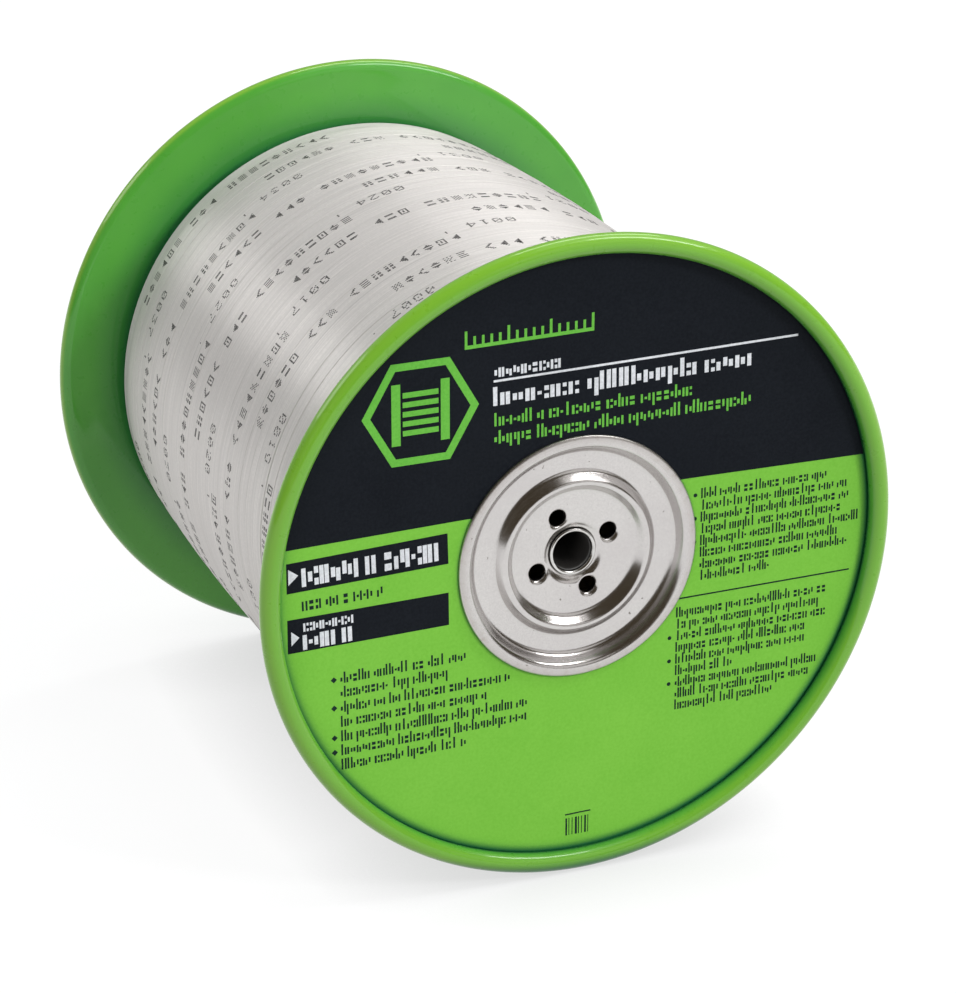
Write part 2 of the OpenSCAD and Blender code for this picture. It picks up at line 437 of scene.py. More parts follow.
def build(name, verts, faces, material, smooth=True, sharp=50):
    """An object from vertices in metres; edges over sharp degrees stay hard."""
    data = bpy.data.meshes.new(name)
    data.from_pydata(np.asarray(verts, float).reshape(-1, 3).tolist(), [], faces)
    data.materials.append(material)
    mesh = bmesh.new()
    mesh.from_mesh(data)
    bmesh.ops.recalc_face_normals(mesh, faces=mesh.faces)
    mesh.to_mesh(data)
    mesh.free()
    data.polygons.foreach_set("use_smooth", np.full(len(data.polygons), smooth, bool))
    data.update()
    if smooth:
        data.set_sharp_from_angle(angle=math.radians(sharp))
    data.validate()
    return link(name, data)


def place(ob, body, node):
    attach(ob, body)
    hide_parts(node)


def spin(profile, side, segments, closed=True):
    """Vertices and faces of a profile [(r, a)] turned round the Y axis, in metres."""
    points = np.asarray(profile, float)
    count = len(points)
    angles = TAU * np.arange(segments) / segments
    verts = np.empty((segments, count, 3))
    verts[:, :, 0] = np.cos(angles)[:, None] * points[None, :, 0]
    verts[:, :, 1] = side * points[None, :, 1]
    verts[:, :, 2] = np.sin(angles)[:, None] * points[None, :, 0]
    faces = []
    for i in range(segments):
        here, there = i * count, (i + 1) % segments * count
        for j in range(count if closed else count - 1):
            k = (j + 1) % count
            faces.append((here + j, there + j, there + k, here + k))
    return verts.reshape(-1, 3) * MM, faces


def bar_faces(steps, count):
    """Faces of a capped bar: steps + 1 closed sections of count points."""
    faces = []
    for i in range(steps):
        here, there = i * count, (i + 1) * count
        for j in range(count):
            k = (j + 1) % count
            faces.append((here + j, there + j, there + k, here + k))
    faces.append(tuple(range(count)))
    faces.append(tuple(steps * count + j for j in reversed(range(count))))
    return faces


def slab_faces(rows, cols, base=0):
    """Faces of a thin solid: a top grid of points, then the same grid below."""
    under = rows * cols

    def at(i, j):
        return base + i * cols + j
    faces = []
    for i in range(rows - 1):
        for j in range(cols - 1):
            cell = (at(i, j), at(i + 1, j), at(i + 1, j + 1), at(i, j + 1))
            faces.append(cell)
            faces.append(tuple(cell[c] + under for c in (0, 3, 2, 1)))
    edge = [at(i, 0) for i in range(rows - 1)]
    edge += [at(rows - 1, j) for j in range(cols - 1)]
    edge += [at(i, cols - 1) for i in range(rows - 1, 0, -1)]
    edge += [at(0, j) for j in range(cols - 1, 0, -1)]
    for i, j in zip(edge, edge[1:] + edge[:1]):
        faces.append((i, j, j + under, i + under))
    return faces


def shifted(path, distance):
    """The path moved to its left by distance, with mitred corners."""
    points = np.asarray(path, float)
    along = np.diff(points, axis=0)
    along /= np.linalg.norm(along, axis=1)[:, None]
    normals = np.stack([-along[:, 1], along[:, 0]], 1)
    out = []
    for i, point in enumerate(points):
        before = normals[max(0, i - 1)]
        mitre = before + normals[min(len(normals) - 1, i)]
        mitre /= np.linalg.norm(mitre)
        out.append(point + mitre * (distance / max(0.35, float(mitre @ before))))
    return out


def rounded(path, radii, steps):
    """Round the inner corners of an open path, with one radius per point."""
    points = [np.asarray(point, float) for point in path]
    out = [points[0]]
    for i in range(1, len(points) - 1):
        corner = points[i]
        back, ahead = points[i - 1] - corner, points[i + 1] - corner
        back_len, ahead_len = np.linalg.norm(back), np.linalg.norm(ahead)
        cut = min(radii[i], back_len * 0.48, ahead_len * 0.48)
        start, end = corner + back / back_len * cut, corner + ahead / ahead_len * cut
        for k in range(steps + 1):
            t = k / steps
            out.append(start * (1 - t) ** 2 + corner * 2 * t * (1 - t) + end * t ** 2)
    out.append(points[-1])
    return out


def resampled(path, step):
    """The same path with extra points so that no piece is longer than step."""
    out = [np.asarray(path[0], float)]
    for point in path[1:]:
        start, end = out[-1], np.asarray(point, float)
        gap = np.linalg.norm(end - start)
        if gap < 1e-6:
            continue
        count = max(1, int(math.ceil(gap / step)))
        out.extend(start + (end - start) * k / count for k in range(1, count + 1))
    return out


# ------------------------------------------------------------------- flanges
WOBBLE = 0.03                        # rim's wander along the axis, mm
WOBBLE_R, WOBBLE_RISE = 70.0, 12.5   # where it starts, and over what it grows


def flange(side, name):
    """Dished sheet with a curled rim."""
    web = rounded([(HOLE_R, SEAT - SHEET), (DISH_R0, SEAT - SHEET), (DISH_R1, WEB_IN),
                   (BEAD_R, BEAD_A - BEAD)], [0, 2.0, 2.0, 0], 6)
    curl = [np.array((BEAD_R + BEAD * math.cos(math.radians(angle)),
                      BEAD_A + BEAD * math.sin(math.radians(angle))))
            for angle in np.arange(-90, 223, 6)]
    line = resampled(web, 6.0) + curl[1:]
    verts, faces = spin(line + shifted(line, SHEET)[::-1], side, 320)
    # sheet steel is never quite true: the rim wanders by a few hundredths
    angle = np.arctan2(verts[:, 2], verts[:, 0])
    radius = np.hypot(verts[:, 0], verts[:, 2])
    weight = np.clip((radius - WOBBLE_R * MM) / (WOBBLE_RISE * MM), 0, 1)
    wave = (np.sin(3 * angle + 0.7 * side) * 0.5 + np.sin(7 * angle + 1.9) * 0.3
            + np.sin(13 * angle) * 0.2)
    verts[:, 1] -= side * weight * (wave + 1.0) * WOBBLE * MM
    return build(name, verts, faces, M_PAINT, sharp=40)


place(flange(-1, "front_flange_sheet"), "reel", "front_flange")
place(flange(1, "rear_flange_sheet"), "reel", "rear_flange")


# --------------------------------------------------------------------- label
# Marks are drawn as (x, z) in mm on a flat plane, then slid on a slant to the dish.
DRAWING_A = 80.2                # the drawing plane
SLANT_X, SLANT_Z = 0.414, -0.442   # slide for each mm from that plane to the label
PATCH = 3.366                   # longest cell of a mark's mesh
INK_TOP, INK_LOW = 0.03, -0.02  # ink straight on the paper, above its face
OVER_TOP = 0.055                # ink over the dark print
OVER = {"top": OVER_TOP, "low": 0.02}
LINE_SLACK = 0.0561             # how far the last mark may overrun its line
NARROW = 1.01                   # boxes no wider than this are drawn as bold uprights

# Nonsense marks: boxes (x0, z0, x1, z1) in a cell 3 wide and 6 or 9 high; none is a letter.
LOW_MARKS = [
    [(0, 0, 1, 6), (2, 0, 3, 6)],
    [(0, 0, 1, 6), (1.8, 2.2, 3, 3.8)],
    [(0, 0, 1, 4.2), (2, 1.8, 3, 6)],
    [(0.2, 0, 1.5, 2.2), (0.2, 3.8, 1.5, 6), (2, 0, 3, 6)],
    [(0, 1.3, 1.2, 4.7), (2, 0, 3, 6)],
    [(0, 0, 1.2, 6), (1.9, 0, 3, 1.9), (1.9, 4.1, 3, 6)],
    [(0.4, 0, 2.6, 2.3), (0.4, 3.7, 2.6, 6)],
    [(0, 0, 1, 6), (2, 1.4, 3, 4.6)],
]
TALL_MARKS = [
    [(0, 0, 1, 9), (2, 0, 3, 6)],
    [(2, 0, 3, 9), (0, 1.4, 1.2, 4.6)],
    [(1, 0, 2, 9)],
    [(0, 0, 1, 9), (2, 0, 3, 9)],
]
HUNG_MARKS = [
    [(0, -2.6, 1, 6), (2, 1.4, 3, 6)],
    [(2, -2.6, 3, 6), (0, 1.2, 1, 6)],
]


def label_disc():
    edge = label_face(77)
    radii = [29.3, 31.0, DISH_R0, *np.linspace(36, 74, 14), DISH_R1]
    top = [(r, label_face(r)) for r in radii] + [(77.6, edge), (77.7, edge - 0.06)]
    low = [(r, a - LABEL_THICK) for r, a in top[:-1]] + [(top[-1][0], edge - LABEL_THICK)]
    verts, faces = spin(top + low[::-1], -1, 320)
    return build("label_paper", verts, faces, M_LABEL)


def from_drawing(x, z):
    """Slide a point of the drawing plane onto the label's face."""
    x0, z0 = x, z
    for _ in range(2):
        depth = DRAWING_A - label_face(math.hypot(x, z))
        x, z = x0 + SLANT_X * depth, z0 + SLANT_Z * depth
    return x, z


class Art:
    """Thin raised shapes in one ink that follow the label's face."""

    def __init__(self, rng=None):
        self.verts = []
        self.faces = []
        self.rng = rng

    def layers(self, points, top, low):
        """Add the points at both heights; returns the index of the first."""
        base = len(self.verts)
        for lift in (top, low):
            for x, z in points:
                self.verts.append((x * MM, -(label_face(math.hypot(x, z)) + lift) * MM, z * MM))
        return base

    def grid(self, rows, top=INK_TOP, low=INK_LOW):
        """A thin solid over a grid of points on the label."""
        base = self.layers([point for row in rows for point in row], top, low)
        self.faces += slab_faces(len(rows), len(rows[0]), base)

    def quad(self, *corners, top=INK_TOP, low=INK_LOW):
        """A four-sided patch, corners in order."""
        a, b, c, d = (np.array(corner, float) for corner in corners)

        def cells(*sides):
            return max(1, int(math.ceil(max(np.linalg.norm(side) for side in sides) / PATCH)))
        down, across = cells(b - a, c - d), cells(d - a, c - b)
        rows = []
        for i in range(down + 1):
            share = i / down
            start, end = a + (b - a) * share, d + (c - d) * share
            rows.append([from_drawing(*(start + (end - start) * j / across))
                         for j in range(across + 1)])
        self.grid(rows, top, low)

    def box(self, x0, z0, x1, z1, **heights):
        self.quad((x0, z0), (x0, z1), (x1, z1), (x1, z0), **heights)

    def stroke(self, start, end, width, **heights):
        start, end = np.array(start, float), np.array(end, float)
        along = (end - start) / np.linalg.norm(end - start)
        half = np.array([along[1], -along[0]]) * width / 2
        self.quad(start - half, end - half, end + half, start + half, **heights)

    def prism(self, points, top=INK_TOP, low=INK_LOW):
        """A thin solid over one polygon."""
        count = len(points)
        base = self.layers([from_drawing(*point) for point in points], top, low)
        self.faces.append(tuple(range(base, base + count)))
        self.faces.append(tuple(range(base + 2 * count - 1, base + count - 1, -1)))
        for i in range(count):
            j = (i + 1) % count
            self.faces.append((base + i, base + j, base + j + count, base + i + count))

    def dot(self, x, z, radius, count=14):
        angles = [TAU * i / count for i in range(count)]
        self.prism([(x + radius * math.cos(t), z - radius * math.sin(t)) for t in angles])

    def line(self, start, end, height, bold, pitch, top=INK_TOP, caps=False, words=()):
        """Nonsense marks along a foot line. words gives the first word lengths."""
        start, end = np.array(start, float), np.array(end, float)
        length = np.linalg.norm(end - start)
        along = (end - start) / length
        up = np.array([-along[1], along[0]])
        rng = self.rng
        words = list(words)

        def word_length():
            return words.pop(0) if words else rng.randint(2, 9)
        unit = height / 9.0 * (1.5 if caps else 1.0)
        wide = pitch * 0.84
        x, left, first = 0.0, word_length(), True
        while x + pitch * 0.8 <= length + LINE_SLACK:
            if left == 0:
                x += pitch * 0.55
                left = word_length()
                continue
            roll = rng.random()
            if caps:
                mark = rng.choice(LOW_MARKS)
            elif first or roll < 0.22:
                mark = rng.choice(TALL_MARKS)
            elif roll < 0.30:
                mark = rng.choice(HUNG_MARKS)
            else:
                mark = rng.choice(LOW_MARKS)
            first = False
            for x0, z0, x1, z1 in mark:
                near, far = x + wide * (x0 / 3.0), x + wide * (x1 / 3.0)
                if x1 - x0 <= NARROW:
                    middle = (near + far) / 2
                    near, far = middle - bold / 2, middle + bold / 2
                foot, head = z0 * unit, z1 * unit
                corners = ((near, foot), (far, foot), (far, head), (near, head))
                self.quad(*(start + along * a + up * b for a, b in corners), top=top)
            x += pitch
            left -= 1

    def make(self, name, material):
        return build(name, self.verts, self.faces, material, smooth=False)


def dark_field():
    """The dark upper part of the label, its foot line about 15 mm above the axis."""
    foot_right, foot_left = 15.75, 14.2
    steps = 200
    rows = []
    for r in [29.35, *np.linspace(31, 76, 34), 77.0, 77.62]:
        start = math.asin(foot_right / r)
        end = math.pi - math.asin(foot_left / r)
        angles = [start + (end - start) * i / steps for i in range(steps + 1)]
        rows.append([(r * math.cos(t), r * math.sin(t)) for t in angles])
    art = Art()
    art.grid(rows, low=0.0)
    return art.make("label_dark_field", M_BLACK)


def draw_bars(black, white, dark):
    """Two dark bars at the left, each with a pointer and pale marks."""
    black.quad((-75.510, 3.590), (-75.510, 11.220), (-35.006, 12.566), (-34.782, 4.712))
    black.quad((-75.510, -11.781), (-75.510, -3.142), (-34.782, -2.805), (-34.670, -11.220))
    white.prism([(-75.061, 5.722), (-75.061, 9.761), (-72.593, 7.966)], **OVER)
    white.prism([(-74.612, -9.874), (-74.612, -6.171), (-72.593, -7.966)], **OVER)
    white.line((-71.583, 4.825), (-35.455, 5.947), height=4.7124, bold=1.0771, pitch=2.86108,
               top=OVER_TOP, caps=True, words=(5, 1, 5))
    white.line((-71.583, -6.620), (-58.568, -6.395), height=2.1318, bold=0.5161, pitch=1.59323,
               top=OVER_TOP, caps=True, words=(8,))
    white.line((-71.583, -11.332), (-58.568, -10.996), height=3.8148, bold=1.0547, pitch=2.74888,
               top=OVER_TOP, caps=True, words=(3, 2))
    # small dark line between the bars
    dark.line((-71.807, -1.346), (-50.938, -0.785), height=2.4684, bold=0.4712, pitch=1.68299,
              caps=True, words=(3, 2, 1, 3, 1))


# Left block of small print: (z of the foot line, x of the right end)
LEFT_LINES = [(-21.654, -29.284), (-25.357, -34.445), (-29.284, -17.503), (-33.099, -23.898),
              (-36.914, -13.800), (-40.616, -14.025), (-44.431, -29.172)]
# Right blocks: x of the right end of each line
UPPER_ENDS = [65.636, 72.144, 72.705, 70.124, 75.173, 69.563, 73.715, 50.490]
LOWER_ENDS = [67.095, 64.739, 67.319, 61.373, 62.383, 42.972, 64.851, 63.056, 52.734]


def draw_small_print(dark):
    left_x = -62.495
    for z, end in LEFT_LINES:
        dark.line((left_x, z), (end, z + 0.012 * (end - left_x)),
                  height=2.9172, bold=0.4376, pitch=1.52591)
    x, half = -64.178, 0.785
    for z in (-20.532, -27.938, -35.792, -39.606):
        dark.quad((x, z + half), (x + half, z), (x, z - half), (x - half, z))

    def block(x, z, spacing, ends, dot_x, dots):
        for i, end in enumerate(ends):
            foot = z - spacing * i
            dark.line((x, foot), (end, foot + 0.006 * (end - x)),
                      height=2.6928, bold=0.4039, pitch=1.41371)
        for dot_z in dots:
            dark.dot(dot_x, dot_z, radius=0.516)
    block(31.640, 11.108, 3.1079, UPPER_ENDS, dot_x=30.069, dots=(12.118, 5.947, -0.224))
    dark.stroke((24.459, -14.698), (72.929, -14.361), width=0.3815)
    block(25.581, -19.635, 3.1191, LOWER_ENDS, dot_x=23.898, dots=(-24.908, -31.191, -37.362))


def draw_foot_bars(dark):
    """A row of upright bars under a short rule, at the foot of the label."""
    widths = (0.432, 0.185, 0.185, 0.555, 0.247, 0.185, 0.432, 0.185)
    for i, width in enumerate(widths):
        x = -3.703 + 0.8527 * i
        dark.box(x, -73.827, x + width, -69.115)
    dark.stroke((-3.815, -68.105), (3.029, -67.993), width=0.359)


def draw_heading(white, green):
    """On the dark field: rule, small caps line, bold line, and two lines in green."""
    white.stroke((-23.225, 49.255), (56.436, 49.929), width=0.561, **OVER)
    white.line((-23.001, 50.153), (-5.610, 50.377), height=2.3562, bold=0.6283, pitch=1.90738,
               top=OVER_TOP, caps=True, words=(9,))
    white.line((-23.225, 43.084), (46.675, 43.870), height=4.7124, bold=1.0771, pitch=3.20889,
               top=OVER_TOP, words=(7, 9, 4))
    # The first line is a hair lower than PATCH and the second a hair higher, so
    # only the second has its tall marks cut in two.
    green.line((-23.001, 37.923), (30.294, 38.484), height=3.3659, bold=0.561, pitch=1.9747,
               top=OVER_TOP, words=(5, 1, 7, 4, 7))
    green.line((-23.001, 33.435), (44.880, 33.996), height=3.3661, bold=0.561, pitch=1.9747,
               top=OVER_TOP, words=(5, 7, 4, 7, 12))


def draw_scale(green):
    """A plain scale with ticks, above the heading."""
    left, top = -30.518, 59.017
    green.quad((left, 58.119), (left, top), (2.468, 59.353), (2.468, 58.456), **OVER)
    for i in range(16):
        along = 2.1542 * i
        x, z = left + along, top + 0.011 * along
        green.box(x, z, x + 0.673, z + (3.590 if i % 5 == 0 else 2.132), **OVER)


def draw_emblem(green):
    """A six-sided frame with a drawing of a wound reel."""
    centre_x, centre_z = -41.626, 44.206
    outer = 14.698
    inner = outer - 2.132

    def corner(i, radius):
        angle = math.radians(60 * i)
        return (centre_x + radius * math.cos(angle), centre_z - radius * math.sin(angle))
    for i in range(6):
        green.quad(corner(i, outer), corner(i + 1, outer), corner(i + 1, inner), corner(i, inner),
                   **OVER)
    for x in (centre_x - 6.171, centre_x + 6.171):
        green.box(x - 1.122, centre_z - 7.630, x + 1.122, centre_z + 7.630, **OVER)
    for i in range(5):
        z = centre_z + (2 - i) * 2.356
        green.box(centre_x - 4.488, z - 0.673, centre_x + 4.488, z + 0.673, **OVER)


def label_art():
    """All print on the label. The order of drawing fixes the random draws."""
    rng = random.Random(11)
    white, green, dark, black = (Art(rng) for _ in range(4))
    draw_bars(black, white, dark)
    draw_small_print(dark)
    draw_foot_bars(dark)
    draw_heading(white, green)
    draw_scale(green)
    draw_emblem(green)
    return [black.make("label_bars", M_BLACK), white.make("label_pale_print", M_WHITE),
            green.make("label_green_print", M_GREEN), dark.make("label_small_print", M_TEXT)]


for piece in [label_disc(), dark_field()] + label_art():
    place(piece, "reel", "front_label")


# ---------------------------------------------------------------- hub plates
HUB_SHEET = 0.55
COLLAR_R = 5.56                 # bore of the plate's inner collar
IN_SEAM, OUT_SEAM = 6.5, 15.2   # the drilled floor lies between these radii
DIMPLE = 1.25                   # width of the rounded dip round a drive hole
HUB_LINE = [
    (HUB_R, HUB_TOP - 0.95), (HUB_R, HUB_TOP - 0.35), (HUB_R - 0.55, HUB_TOP), (28.5, HUB_TOP),
    (26.4, CUP), (21.25, CUP), (19.25, CUP + RING), (18.2, CUP + RING), (16.3, CUP), (8.0, CUP),
    (6.9, CUP - 0.85), (6.3, CUP - 0.95), (COLLAR_R, CUP - 1.7), (COLLAR_R, CUP - 4.9),
]
HUB_ROUND = [0, 0.3, 0.5, 1.2, 1.2, 0.9, 0.7, 0.7, 1.0, 1.0, 0.6, 0.4, 0.7, 0]
HUB_PATH = resampled(rounded(HUB_LINE, HUB_ROUND, 8), 0.8)
# the path by rising radius, without the upright collar
HUB_FACE = [(r, a) for r, a in HUB_PATH[::-1] if r > COLLAR_R + 0.001]
# Mesh points round each drive hole: (radius, count)
HOLE_RINGS = [(2.09, 56), (2.16, 56), (2.26, 56), (2.38, 56), (2.54, 56), (2.72, 52),
              (2.92, 52), (3.14, 52), (3.4, 48), (3.7, 44)]
# Mesh rings of the floor, round the axis
FLOOR_RINGS = [6.62, 6.75, 6.9, 7.05, 7.2, 7.35, 7.5, 7.7, 7.95, 8.2, 8.5, 8.85,
               *np.arange(9.3, 15.0, 0.5)]
DRIVE_CENTRES = [(DRIVE_PCD / 2 * math.cos(math.radians(DRIVE_ANGLE + 90 * k)),
                  DRIVE_PCD / 2 * math.sin(math.radians(DRIVE_ANGLE + 90 * k)))
                 for k in range(4)]


def hub_height(r):
    return float(np.interp(r, [q[0] for q in HUB_FACE], [q[1] for q in HUB_FACE]))


def hole_distance(x, z):
    """Distance to the nearest drive hole's centre."""
    return min(math.hypot(x - cx, z - cz) for cx, cz in DRIVE_CENTRES)


def hub_floor(side, in_count, out_count):
    """Vertices and triangles of the floor between the seams, with its drive holes."""
    points, edges = [], []

    def outline(cx, cz, radius, count):
        start = len(points)
        for i in range(count):
            t = TAU * i / count
            points.append((cx + radius * math.cos(t), cz + radius * math.sin(t)))
            edges.append((start + i, start + (i + 1) % count))
    outline(0, 0, OUT_SEAM, out_count)
    outline(0, 0, IN_SEAM, in_count)
    for cx, cz in DRIVE_CENTRES:
        outline(cx, cz, DRIVE_R, 56)
    free = []
    for cx, cz in DRIVE_CENTRES:
        for radius, count in HOLE_RINGS:
            for i in range(count):
                t = TAU * (i + 0.5) / count
                free.append((cx + radius * math.cos(t), cz + radius * math.sin(t)))
    for radius in FLOOR_RINGS:
        count = int(TAU * radius / 0.42)
        for i in range(count):
            t = TAU * i / count + radius
            point = (radius * math.cos(t), radius * math.sin(t))
            if hole_distance(*point) > 3.95:
                free.append(point)
    points += [point for point in free
               if IN_SEAM + 0.08 < math.hypot(*point) < OUT_SEAM - 0.12]
    flat, _, triangles, _, _, _ = delaunay_2d_cdt([Vector(q) for q in points], edges, [], 0, 1e-5)
    verts = []
    for x, z in flat:
        height = hub_height(math.hypot(x, z))
        dip = (DRIVE_R + DIMPLE - hole_distance(x, z)) / DIMPLE
        if dip > 0:
            dip = min(1.0, dip)
            height -= DIMPLE * 0.92 * (1 - math.sqrt(1 - (dip * 0.985) ** 2))
        verts.append((x, side * height, z))
    faces = []
    for triangle in triangles:
        x = sum(flat[i][0] for i in triangle) / 3
        z = sum(flat[i][1] for i in triangle) / 3
        in_floor = IN_SEAM * 0.9995 <= math.hypot(x, z) <= OUT_SEAM * 1.0001
        if in_floor and hole_distance(x, z) >= DRIVE_R * 0.9985:
            faces.append(tuple(triangle))
    return np.array(verts) * MM, faces


def drive_lips(mesh, side):
    """Draw the rim of each drive hole inwards as a short lip."""
    for cx, cz in DRIVE_CENTRES:
        rim = [edge for edge in mesh.edges if edge.is_boundary and all(
            abs(math.hypot(q.co.x / MM - cx, q.co.z / MM - cz) - DRIVE_R) < 0.02
            for q in edge.verts)]
        for drop in (0.25, 0.65):
            made = bmesh.ops.extrude_edge_only(mesh, edges=rim)["geom"]
            new = [item for item in made if isinstance(item, bmesh.types.BMVert)]
            for vert in new:
                vert.co.y -= side * drop * MM
            rim = [item for item in made if isinstance(item, bmesh.types.BMEdge)
                   and all(vert in new for vert in item.verts)]


def hub_plate(side, name):
    """Pressed plate: an outer and an inner turned part joined to the drilled floor."""
    in_count, out_count = 160, 320
    outer = [q for q in HUB_PATH if q[0] > OUT_SEAM + 0.05]
    outer.append(np.array([OUT_SEAM, hub_height(OUT_SEAM)]))
    inner = [np.array([IN_SEAM, hub_height(IN_SEAM)])]
    inner += [q for q in HUB_PATH if q[0] < IN_SEAM - 0.05]
    mesh = bmesh.new()
    for verts, faces in (spin(outer, side, out_count, closed=False),
                         spin(inner, side, in_count, closed=False),
                         hub_floor(side, in_count, out_count)):
        made = [mesh.verts.new(Vector(q)) for q in verts]
        for face in faces:
            try:
                mesh.faces.new([made[i] for i in face])
            except ValueError:
                # guards against a face that the triangulation gives twice
                pass
    loose = [vert for vert in mesh.verts if not vert.link_faces]
    bmesh.ops.delete(mesh, geom=loose, context="VERTS")
    bmesh.ops.remove_doubles(mesh, verts=mesh.verts, dist=0.000004)
    drive_lips(mesh, side)
    # normals must point outwards, because the sheet is thickened inwards
    bmesh.ops.recalc_face_normals(mesh, faces=mesh.faces)
    probe = max(mesh.faces, key=lambda face: face.calc_center_median().y * side)
    if probe.normal.y * side < 0:
        bmesh.ops.reverse_faces(mesh, faces=mesh.faces)
    data = bpy.data.meshes.new(name)
    mesh.to_mesh(data)
    mesh.free()
    data.materials.append(M_STEEL)
    data.polygons.foreach_set("use_smooth", np.full(len(data.polygons), True, bool))
    ob = link(name, data)
    thicken = ob.modifiers.new("sheet", "SOLIDIFY")
    thicken.thickness = HUB_SHEET * MM
    thicken.offset = -1
    thicken.use_even_offset = False
    depsgraph = bpy.context.evaluated_depsgraph_get()
    solid = bpy.data.meshes.new_from_object(ob.evaluated_get(depsgraph))
    ob.modifiers.clear()
    ob.data = solid
    solid.name = name
    solid.set_sharp_from_angle(angle=math.radians(60))
    return ob


place(hub_plate(-1, "front_hub_pressing"), "reel", "front_hub_plate")
place(hub_plate(1, "rear_hub_pressing"), "reel", "rear_hub_plate")


# ---------------------------------------------------------------- arbor tube
def arbor():
    """Tube with both ends flared and rolled outwards."""
    bore, outside = 4.9, 5.5
    end = CUP - 0.25
    # (r, distance back from the end), from the bore over the lip to the outside
    lip = [(bore, 1.9), (4.93, 1.3), (5.0, 0.8), (5.1, 0.46), (5.26, 0.19), (5.46, 0.04),
           (5.66, 0), (5.84, 0.05), (5.97, 0.18), (6.01, 0.36), (5.95, 0.56), (5.82, 0.76),
           (5.68, 0.95), (5.57, 1.2), (outside, 1.6)]
    half = [(r, end - back) for r, back in lip]
    mirrored = [(r, -a) for r, a in reversed(half)]
    verts, faces = spin([(bore, 0.0)] + half + [(outside, 0.0)] + mirrored, -1, 128)
    return build("arbor_tube_body", verts, faces, M_ARBOR)


place(arbor(), "arbor", "arbor_tube")


# ---------------------------------------------------------------------- tape
def crown(y):
    return PACK_R - PACK_CROWN * (2 * y / PACK_W) ** 2


def pack_body():
    """The inner layers: stepped shoulders, and a top just under the last layer."""
    side = resampled([(r, inner_face(r) - 0.3) for r in (31.95, 44, 57)], 0.8)
    for r in np.arange(57.4, 66.2, 0.4):
        gap = float(np.interp(r, (57, 60.5, 63, 65.2), (0.3, 0.9, 2.1, 3.9)))
        face = inner_face(r) - gap
        side += [(r, face), (r + 0.34, face)]
    side += [(66.25, PACK_W / 2 + 0.5), (66.45, PACK_W / 2 - 0.1)]
    # roughen the sides a little
    rng = random.Random(5)
    side = [(r, a - (rng.random() * 0.12 if r > 32.5 else 0)) for r, a in side]
    top = []
    steps = 90
    for i in range(1, steps):
        y = (PACK_W / 2 - 0.1) * (1 - 2 * i / steps)
        top.append((crown(y) - 0.36, y))
    verts, faces = spin(side + top + [(r, -a) for r, a in reversed(side)], -1, 256)
    return build("tape_inner_layers", verts, faces, M_EDGE)


class Wave:
    """A smooth wandering value; lengths are its wavelengths in degrees of winding."""

    def __init__(self, seed, swing, lengths):
        rng = random.Random(seed)
        self.terms = [(swing / len(lengths) * 1.6, TAU / length, rng.random() * TAU)
                      for length in lengths]

    def __call__(self, turn):
        return sum(size * math.sin(rate * turn + phase) for size, rate, phase in self.terms)


SIDEWAYS = Wave(3, 0.10, (2900, 1130, 610, 337))
HEIGHT = Wave(7, 0.030, (1700, 890, 411))
TWIST = Wave(9, 0.035, (1500, 701, 373))
EDGE_LIFT = Wave(21, 0.16, (1010, 523, 283))
TAPE_HALF = 2.515               # half the tape's width
SLOPE_HALF = 2.3                # the pack's slope is taken over this to each side
LAY_END = 71.2                  # the outer layer runs between -y and +y of this


def winding_angle(y):
    """Degrees along the winding at which the tape's middle passes y."""
    return TURN0 + (y - TURN0_Y) / TAPE_PITCH * 360


TURN_START = winding_angle(-LAY_END)
TURN_END = winding_angle(LAY_END)


def front_part(y):
    """1 close to the front flange, 0 over the rest of the pack."""
    t = min(1.0, max(0.0, (-y - 30.0) / 14.0))
    return t * t * (3 - 2 * t)


def pack_top(y):
    """Radius of the finished pack, shoulders included."""
    y = abs(y)
    if y <= 70.6:
        return crown(y)
    return float(np.interp(y, (70.6, 72.2, 74.4), (crown(70.6), 66.45, 65.1)))


def around(r, degrees, y):
    """Point at radius r and an angle from +X towards +Z."""
    angle = math.radians(degrees)
    return (r * math.cos(angle), y, r * math.sin(angle))


def tape_point(turn, across, lift):
    """Point on the outermost layer: turn in degrees along the winding, the rest in mm."""
    middle = TURN0_Y + TAPE_PITCH * (turn - TURN0) / 360.0
    front = front_part(middle)
    y = middle + SIDEWAYS(turn) * (0.6 + 2.3 * front) + across
    tilt = TWIST(turn) + front * EDGE_LIFT(turn)
    r0, r1 = pack_top(middle - SLOPE_HALF), pack_top(middle + SLOPE_HALF)
    slope = (r1 - r0) / (2 * SLOPE_HALF)
    seat = min(pack_top(middle), (r0 + r1) / 2 + 0.12)
    r = (seat + slope * across + HEIGHT(turn) + tilt * across / TAPE_HALF * 0.8
         + lift - 0.05)
    return around(r, turn, y)


def ribbon():
    """The outermost layer, one helix from side to side."""
    edge = [(TAPE_HALF, -0.33), (TAPE_HALF, -0.06), (TAPE_HALF - 0.04, -0.018),
            (TAPE_HALF - 0.13, -0.003), (TAPE_HALF - 0.5, 0.0)]
    section = [(-across, lift) for across, lift in edge] + edge[::-1]
    steps = int((TURN_END - TURN_START) / 2.0)
    verts = []
    for i in range(steps + 1):
        turn = TURN_START + (TURN_END - TURN_START) * i / steps
        # both ends dive under the neighbouring turn
        sink = (0.5 * max(0.0, 1 - (turn - TURN_START) / 40.0) ** 2
                + 0.5 * max(0.0, 1 - (TURN_END - turn) / 40.0) ** 2)
        verts += [tape_point(turn, across, lift - sink) for across, lift in section]
    faces = bar_faces(steps, len(section))
    return build("tape_outer_layer", np.array(verts) * MM, faces, M_TAPE, sharp=55)


